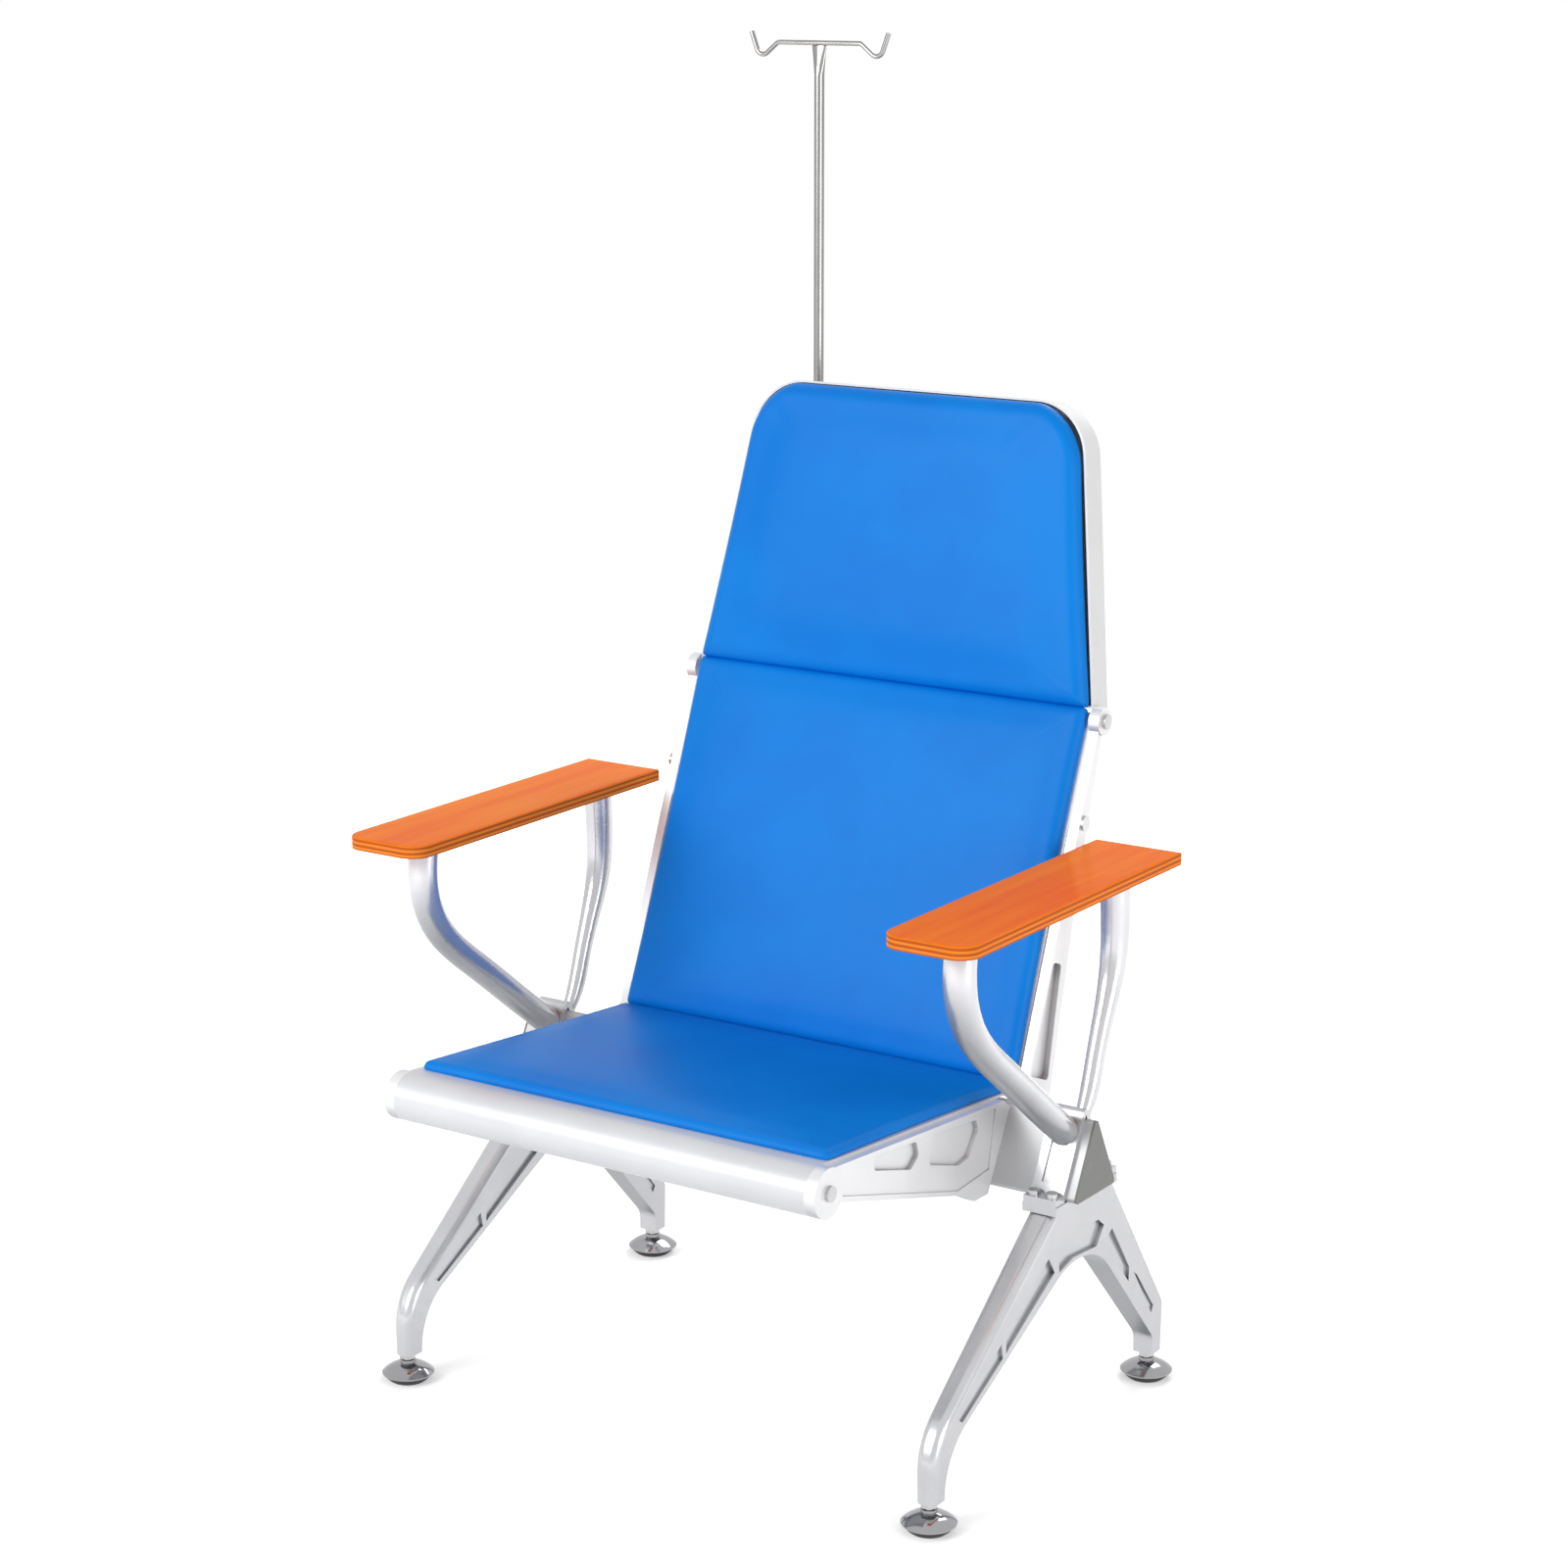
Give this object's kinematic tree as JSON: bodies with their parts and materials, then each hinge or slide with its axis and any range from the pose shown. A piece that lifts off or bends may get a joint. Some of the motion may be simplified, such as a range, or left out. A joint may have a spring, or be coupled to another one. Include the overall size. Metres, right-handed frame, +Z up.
{
  "type": "infusion chair",
  "caption": "Fixed infusion chair on a triangular beam: blue padded seat, back and headrest, wooden armrests, arched cast legs, levelling feet and a drip pole behind.",
  "frame": {"origin": "on the floor under the middle of the chair's bounding box", "axes": "+Z up, -Y the way the sitter faces, +X to the sitter's left"},
  "size_m": [0.809, 0.7453, 1.5091],
  "materials": {
    "beam_steel": "satin grey paint",
    "cap_grey": "matt",
    "cast_silver": "satin silver coat on a casting",
    "bracket_silver": "pale silver coat on a casting",
    "bolt_steel": "zinc plated",
    "arm_wood": "clear gloss lacquer",
    "pan_silver": "satin silver powder coat",
    "shell_silver": "satin silver powder coat",
    "blue_leather": "soft sheen, coated",
    "plywood": "raw",
    "pole_steel": "polished stainless",
    "collar_metal": "satin",
    "knob_black": "matt",
    "foot_chrome": "bright",
    "foot_rubber": "matt"
  },
  "bodies": {
    "frame": {"beam": "beam_steel", "beam_cap_left": "cap_grey", "beam_cap_right": "cap_grey", "leg_left": "cast_silver", "leg_right": "cast_silver", "leg_bolts": "bolt_steel", "lock_nuts": "bolt_steel", "arm_frame_left": "cast_silver", "arm_frame_right": "cast_silver", "arm_pad_left": "arm_wood", "arm_pad_right": "arm_wood", "arm_pad_studs": "bolt_steel", "seat_arm_left": "bracket_silver", "seat_arm_right": "bracket_silver", "back_arm_left": "bracket_silver", "back_arm_right": "bracket_silver", "casting_screws": "bolt_steel", "beam_bolts": "bolt_steel", "seat_pan": "pan_silver", "roll_plugs": "pan_silver", "back_panel": "pan_silver", "head_shell": "shell_silver", "seat_cushion": "blue_leather", "seat_board": "plywood", "back_cushion": "blue_leather", "back_board": "plywood", "head_cushion": "blue_leather", "head_board": "plywood", "pole_socket": "pole_steel", "socket_screws": "bolt_steel"},
    "front_left_foot": {"foot_front_left": "foot_chrome", "foot_pad_front_left": "foot_rubber"},
    "front_right_foot": {"foot_front_right": "foot_chrome", "foot_pad_front_right": "foot_rubber"},
    "rear_left_foot": {"foot_rear_left": "foot_chrome", "foot_pad_rear_left": "foot_rubber"},
    "rear_right_foot": {"foot_rear_right": "foot_chrome", "foot_pad_rear_right": "foot_rubber"},
    "collar": {"pole_collar": "collar_metal"},
    "knob": {"clamp_knob": "knob_black"},
    "pole": {"iv_pole": "pole_steel", "drip_hook": "pole_steel"}
  },
  "joints": [
    {"name": "front_left_levelling", "type": "slide", "parent": "frame", "child": "front_left_foot", "axis": [0, 0, 1], "range_m": [-0.012, 0]},
    {"name": "front_right_levelling", "type": "slide", "parent": "frame", "child": "front_right_foot", "axis": [0, 0, 1], "range_m": [-0.012, 0]},
    {"name": "rear_left_levelling", "type": "slide", "parent": "frame", "child": "rear_left_foot", "axis": [0, 0, 1], "range_m": [-0.012, 0]},
    {"name": "rear_right_levelling", "type": "slide", "parent": "frame", "child": "rear_right_foot", "axis": [0, 0, 1], "range_m": [-0.012, 0]},
    {"name": "pole_swivel", "type": "hinge", "parent": "frame", "child": "collar", "pos_m": [-0.181, 0.337, 1.059], "axis": [0, 0, 1], "range_deg": [-90, 90]},
    {"name": "pole_height", "type": "slide", "parent": "collar", "child": "pole", "axis": [0, 0, 1], "range_m": [-0.28, 0.08]},
    {"name": "knob_turn", "type": "hinge", "parent": "collar", "child": "knob", "pos_m": [-0.181, 0.36, 1.059], "axis": [0, 1, 0], "range_deg": [-180, 180]}
  ]
}
